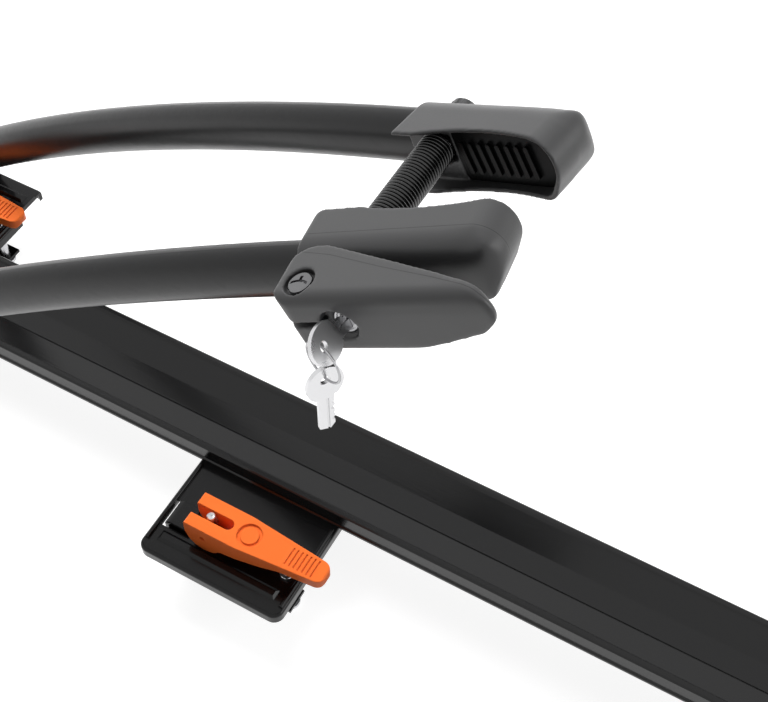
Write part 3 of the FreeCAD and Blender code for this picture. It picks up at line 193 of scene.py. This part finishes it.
M = {
    "rail": finish_material(
        "rail_anodised", (0.0048, 0.0048, 0.0050), 0.20, grain=0.08, grain_size=900.0,
        stretch=(0.05, 1.0, 1.0), mottle=30.0, rough_spread=0.03, specular=0.34, rounding=0.0005),
    "gloss": finish_material(
        "gloss_black_paint", (0.0040, 0.0040, 0.0043), 0.15, grain=0.02, grain_size=500.0,
        coat=0.12, rough_spread=0.03, specular=0.20, rounding=0.0006),
    "satin": finish_material(
        "satin_black_steel", (0.010, 0.010, 0.011), 0.38, grain=0.05, grain_size=900.0,
        specular=0.35, rounding=0.0005),
    "tube": finish_material(
        "tube_satin_paint", (0.011, 0.011, 0.0115), 0.33, grain=0.05, grain_size=1600.0,
        spread=0.03, rough_spread=0.03, specular=0.28, coat=0.10, coat_rough=0.25),
    "shell": finish_material(
        "shell_fine_grain", (0.047, 0.047, 0.048), 0.40, grain=0.16, grain_size=2600.0,
        spread=0.03, edge=0.08, rounding=0.0006),
    "seamed": finish_material(
        "shell_with_seam", (0.047, 0.047, 0.048), 0.40, grain=0.16, grain_size=2600.0,
        spread=0.03, rounding=0.0006, seam=0.00022),
    "rubber": finish_material(
        "pad_rubber", (0.0030, 0.0030, 0.0031), 0.42, grain=0.20, grain_size=1800.0,
        specular=0.10, rounding=0.0005),
    "plastic": finish_material(
        "holder_plastic", (0.018, 0.018, 0.019), 0.50, grain=0.2, grain_size=2000.0,
        edge=0.1, specular=0.4, rounding=0.0006),
    "orange": finish_material(
        "lever_orange_plastic", (0.86, 0.165, 0.030), 0.42, specular=0.2, grain=0.10,
        grain_size=2400.0, spread=0.03, edge=0.06, rounding=0.0009),
    "zinc": finish_material(
        "zinc_steel", (0.62, 0.62, 0.64), 0.26, metal=1.0, grain=0.06, grain_size=1500.0,
        rounding=0.0003),
    "dark_zinc": finish_material(
        "dark_zinc_steel", (0.10, 0.10, 0.105), 0.30, metal=1.0, grain=0.06, grain_size=1500.0,
        rounding=0.0003),
    "chrome": finish_material(
        "polished_chrome", (0.42, 0.42, 0.43), 0.14, metal=1.0, grain=0.02, grain_size=900.0,
        rough_spread=0.03, rounding=0.0003),
    "screw": finish_material(
        "dull_chrome", (0.20, 0.20, 0.205), 0.20, metal=1.0, grain=0.02, grain_size=900.0,
        rough_spread=0.03, rounding=0.0003),
    "key": finish_material(
        "nickel_key", (0.66, 0.66, 0.67), 0.24, metal=1.0, grain=0.14, grain_size=1800.0,
        stretch=(1.0, 1.0, 0.15), rounding=0.0002),
    "coil": finish_material(
        "spring_black", (0.006, 0.006, 0.0062), 0.19, grain=0.04, grain_size=900.0, coat=0.3),
}

# Material of each node, by the start of its name
FINISH = {
    "rail": "rail",
    "rail_end_cap": "plastic",
    "bracket_plate": "gloss",
    "bracket_pads": "rubber",
    "slot_bolts": "zinc",
    "clamp_strap": "gloss",
    "pull_bolt": "zinc",
    "cam_pin": "zinc",
    "strap_stud": "zinc",
    "cam_lever": "orange",
    "arm_foot": "gloss",
    "fold_pin": "zinc",
    "knuckle": "satin",
    "splay_pin": "zinc",
    "arm": "tube",
    "near_jaw_shell": "shell",
    "near_jaw_cover": "shell",
    "near_jaw_pad": "rubber",
    "far_jaw_shell": "shell",
    "far_jaw_pad": "rubber",
    "clamp_rod": "dark_zinc",
    "rod_nut": "shell",
    "clamp_spring": "coil",
    "quick_lever_body": "shell",
    "quick_lever_cover": "shell",
    "pivot_screw": "screw",
    "lock_cylinder": "chrome",
    "lock_key": "key",
    "key_ring": "chrome",
    "spare_key": "key",
    "wheel_cradle": "plastic",
    "cradle_pins": "zinc",
    "wheel_strap": "plastic",
    "strap_buckle": "plastic",
    "buckle_lever": "orange",
}


def finish_of(node):
    """The material whose name in FINISH fits most of the node's name."""
    for name in sorted(FINISH, key=len, reverse=True):
        if node == name or node.startswith(name + "_"):
            return M[FINISH[name]]
    return M["plastic"]


for node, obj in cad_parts.items():
    surface = finish_of(node)
    if obj.type != "MESH":
        continue
    if not obj.material_slots:
        obj.data.materials.append(surface)
    for place in obj.material_slots:
        place.material = surface


# Moulded pieces with fully rounded corners
def jaw_axes(side):
    """Directions along the jaw, up from it and outward, as the rows of a matrix."""
    run, rise = math.cos(JAW_RISE), math.sin(JAW_RISE)
    ahead, aside = math.cos(JAW_TOE), math.sin(JAW_TOE)
    along = (run * ahead, -side * run * aside, rise)
    up = (-rise * ahead, side * rise * aside, run)
    out = (aside, side * ahead, 0.0)
    return np.array((along, up, out))


def ramp(value, low, high):
    """0 below low and 1 above high, with a smooth rise between them."""
    share = np.clip((value - low) / (high - low), 0.0, 1.0)
    return share * share * (3.0 - 2.0 * share)


def even_mesh(nodes, name, voxel):
    """One mesh of small even faces round several CAD nodes that touch."""
    joined = bmesh.new()
    for node in nodes:
        joined.from_mesh(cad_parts[node].data)
    bmesh.ops.remove_doubles(joined, verts=joined.verts, dist=1e-6)
    mesh = bpy.data.meshes.new(name)
    joined.to_mesh(mesh)
    joined.free()
    piece = bpy.data.objects.new(name, mesh)
    scene.collection.objects.link(piece)
    remesh = piece.modifiers.new("even", "REMESH")
    remesh.mode = "VOXEL"
    remesh.voxel_size = voxel
    graph = bpy.context.evaluated_depsgraph_get()
    final = bpy.data.meshes.new_from_object(piece.evaluated_get(graph))
    piece.modifiers.clear()
    piece.data = final
    return piece


def hull_lines(points):
    """Outward normals and reaches of the convex outline round flat points."""
    order = sorted(set(map(tuple, np.round(points, 6))))
    chains = []
    for run in (order, order[::-1]):
        chain = []
        for p in run:
            while len(chain) > 1:
                a, b = chain[-2], chain[-1]
                if (b[0] - a[0]) * (p[1] - a[1]) - (b[1] - a[1]) * (p[0] - a[0]) > 0:
                    break
                chain.pop()
            chain.append(p)
        chains += chain[:-1]
    ring = np.array(chains)
    step = np.roll(ring, -1, 0) - ring
    length = np.linalg.norm(step, axis=1)
    keep = length > 1e-6
    normal = np.stack([step[:, 1], -step[:, 0]], 1)[keep] / length[keep, None]
    return normal, (normal * ring[keep]).sum(1)


def clipped(normal, reach):
    """Corners of the convex outline whose sides are given by normals and reaches."""
    ring = [np.array(p) for p in ((-1.0, -1.0), (1.0, -1.0), (1.0, 1.0), (-1.0, 1.0))]
    for n, h in zip(normal, reach):
        fresh = []
        for i, p in enumerate(ring):
            q = ring[(i + 1) % len(ring)]
            dp, dq = n @ p - h, n @ q - h
            if dp <= 0:
                fresh.append(p)
            if (dp < 0 < dq) or (dq < 0 < dp):
                fresh.append(p + (q - p) * (dp / (dp - dq)))
        ring = fresh
    return np.array(ring)


def outline_ratio(flat, centre, radius):
    """How far out the rounded outline lies as a share of the old one, all round the centre.

    The rounded outline is what a disc of that radius reaches inside the old one. The answer is the
    directions, the old outline's distance in each, and the share.
    """
    normal, reach = hull_lines(flat)
    core = clipped(normal, reach - radius)
    angles = np.linspace(-math.pi, math.pi, DIRECTIONS, endpoint=False)
    ways = np.stack([np.cos(angles), np.sin(angles)], 1)
    slope = ways @ normal.T
    room = reach - normal @ centre
    old = np.where(slope > 1e-9, room / np.maximum(slope, 1e-9), 9.0).min(1)
    low, high = np.zeros(DIRECTIONS), old.copy()
    a, b = core, np.roll(core, -1, 0)
    side = b - a
    for _ in range(HALVINGS):
        mid = (low + high) / 2
        spot = centre + ways * mid[:, None]
        along = np.clip(((spot[:, None] - a) * side).sum(2) / (side * side).sum(1), 0, 1)
        gap = np.linalg.norm(spot[:, None] - a - side * along[..., None], axis=2).min(1)
        inside = ((spot @ normal.T) <= reach - radius).all(1)
        fits = inside | (gap <= radius)
        low = np.where(fits, mid, low)
        high = np.where(fits, high, mid)
    return angles, old, low / old


def rounded_outline(local, ratio, centre, start):
    """Draws the flat outline round beyond the start, walls and all."""
    angles, old, share = ratio
    flat = local[:, :2] - centre
    turn = np.arctan2(flat[:, 1], flat[:, 0])
    reach = np.interp(turn, angles, old, period=2 * math.pi)
    factor = np.interp(turn, angles, share, period=2 * math.pi)
    distance = np.linalg.norm(flat, axis=1) / reach
    weight = ramp(distance, 0.35, 0.85) * ramp(local[:, 0], start, start + FADE)
    local[:, :2] = centre + flat * (1.0 + (factor - 1.0) * weight)[:, None]


def smoothed(local, edges, weight, passes):
    """Moves each point half way to the middle of its neighbours, by its weight, in several passes."""
    degree = np.maximum(np.bincount(edges.ravel(), minlength=len(local)), 1)
    a, b = edges[:, 0], edges[:, 1]
    for _ in range(passes):
        for axis in range(3):
            line = local[:, axis]
            total = np.bincount(a, line[b], len(local)) + np.bincount(b, line[a], len(local))
            local[:, axis] = line + 0.5 * weight * (total / degree - line)


def moulded(name, nodes, body, side, radius, start, soft, passes, finish, seam=None):
    """A piece that stands for moulded CAD nodes, with its outline and its outer corners drawn round."""
    piece = even_mesh(nodes, name, VOXEL)
    mesh = piece.data
    axes = jaw_axes(side)
    count = len(mesh.vertices)
    points = np.zeros(count * 3)
    mesh.vertices.foreach_get("co", points)
    local = (points.reshape(-1, 3) - JAW_ORIGIN) @ axes.T
    edges = np.zeros(len(mesh.edges) * 2, int)
    mesh.edges.foreach_get("vertices", edges)
    edges = edges.reshape(-1, 2)
    if seam:
        lines = mesh.attributes.new("seam", "FLOAT", "POINT")
        lines.data.foreach_set("value", seam(local).astype(np.float32))
    centre = np.array((start + FADE, 0.0))
    ratio = outline_ratio(local[:, :2], centre, radius)
    smoothed(local, edges, np.ones(count), EVENING_PASSES)
    rounded_outline(local, ratio, centre, start)
    smoothed(local, edges, soft(local), passes)
    mesh.vertices.foreach_set("co", (local @ axes + JAW_ORIGIN).ravel())
    mesh.shade_smooth()
    mesh.update()
    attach(piece, body)
    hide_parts(*nodes)
    mesh.materials.clear()
    mesh.materials.append(M[finish])


def near_seam(local):
    """Distance outward from the plane between the near jaw's shell and its cover."""
    return local[:, 2] - NEAR_SEAM


def lever_seam(local):
    """Distance outward from the bent line between the quick lever's body and its cover."""
    return local[:, 2] - np.interp(local[:, 0], LEVER_SEAM_ALONG, LEVER_SEAM_OUT)


def near_soft(local):
    """How much each point of the near jaw is smoothed: the cover's nose, and nothing at the seam."""
    return ramp(local[:, 0], 0.046, 0.056) * ramp(local[:, 2], 0.0464, 0.0500)


def far_soft(local):
    """How much each point of the far jaw is smoothed: its nose outside the mouth."""
    return ramp(local[:, 0], 0.040, 0.055) * ramp(local[:, 2], 0.036, 0.040)


def lever_soft(local):
    """How much each point of the quick lever is smoothed: its nose."""
    return ramp(local[:, 0], 0.055, 0.070)


moulded("near_jaw_moulding", ["near_jaw_shell", "near_jaw_cover"], "near_arm", side=-1,
        radius=0.0130, start=0.015, soft=near_soft, passes=70, finish="seamed", seam=near_seam)
moulded("far_jaw_moulding", ["far_jaw_shell"], "far_arm", side=1,
        radius=0.0125, start=0.015, soft=far_soft, passes=60, finish="shell")
moulded("quick_lever_moulding", ["quick_lever_body", "quick_lever_cover"], "quick_lever", side=-1,
        radius=0.0110, start=0.035, soft=lever_soft, passes=14, finish="seamed", seam=lever_seam)

# The spring as a piece of its own, carried by the fold links' body
spring = bpy.data.objects.new("jaw_spring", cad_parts["clamp_spring"].data.copy())
scene.collection.objects.link(spring)
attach(spring, "fold_links")
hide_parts("clamp_spring")
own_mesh(spring)


# Floor, background and lamps
def seen_directly(tree):
    """1 for rays from the camera and for those that show in gloss or through glass, else 0."""
    path = tree.nodes.new("ShaderNodeLightPath")
    value = path.outputs["Is Camera Ray"]
    for ray in ("Is Glossy Ray", "Is Transmission Ray"):
        most = tree.nodes.new("ShaderNodeMath")
        most.operation = "MAXIMUM"
        tree.links.new(value, most.inputs[0])
        tree.links.new(path.outputs[ray], most.inputs[1])
        value = most.outputs[0]
    return value


def chosen(tree, lighting, shown, target):
    """Shows one shader to direct rays and uses the other for light."""
    mix = tree.nodes.new("ShaderNodeMixShader")
    tree.links.new(seen_directly(tree), mix.inputs["Fac"])
    tree.links.new(lighting, mix.inputs[1])
    tree.links.new(shown, mix.inputs[2])
    tree.links.new(mix.outputs[0], target.inputs["Surface"])


def background(tree, strength):
    node = tree.nodes.new("ShaderNodeBackground")
    socket(node, "Color", WHITE)
    socket(node, "Strength", strength)
    return node.outputs[0]


bpy.ops.mesh.primitive_plane_add(size=FLOOR_SIZE, location=FLOOR_PLACE)
floor = bpy.context.object
floor.name = "floor"
paper = bpy.data.materials.new("floor_paper")
paper.use_nodes = True
tree = paper.node_tree
shader = tree.nodes["Principled BSDF"]
socket(shader, "Base Color", FLOOR_GREY)
socket(shader, "Roughness", 0.9)
socket(shader, "Specular IOR Level", 0.1)
glow = tree.nodes.new("ShaderNodeEmission")
socket(glow, "Color", WHITE)
socket(glow, "Strength", FLOOR_GLOW)
both = tree.nodes.new("ShaderNodeAddShader")
tree.links.new(shader.outputs[0], both.inputs[0])
tree.links.new(glow.outputs[0], both.inputs[1])
chosen(tree, shader.outputs[0], both.outputs[0], tree.nodes["Material Output"])
floor.data.materials.append(paper)

world = scene.world or bpy.data.worlds.new("world")
scene.world = world
world.use_nodes = True
tree = world.node_tree
tree.nodes.clear()
out = tree.nodes.new("ShaderNodeOutputWorld")
chosen(tree, background(tree, WORLD_LIGHT), background(tree, WORLD_SEEN), out)


def area(name, spot, target, size, power):
    """Soft rectangular lamp aimed at a point."""
    data = bpy.data.lights.new(name, "AREA")
    data.shape = "RECTANGLE"
    data.size = size[0]
    data.size_y = size[1]
    data.energy = power
    lamp = bpy.data.objects.new(name, data)
    scene.collection.objects.link(lamp)
    lamp.location = spot
    aim = Vector(target) - Vector(spot)
    lamp.rotation_euler = aim.to_track_quat("-Z", "Y").to_euler()
    return lamp


key = area("key", (-0.7, 0.9, 1.4), (0.15, 0.0, 0.1), (1.6, 1.1), 62.0)
key.visible_glossy = False
area("side", (1.7, 0.5, 0.9), (0.15, 0.0, 0.1), (1.0, 1.0), 9.0)
area("fill", (0.2, -1.5, 1.3), (0.1, 0.0, 0.1), (1.6, 0.8), 0.6)
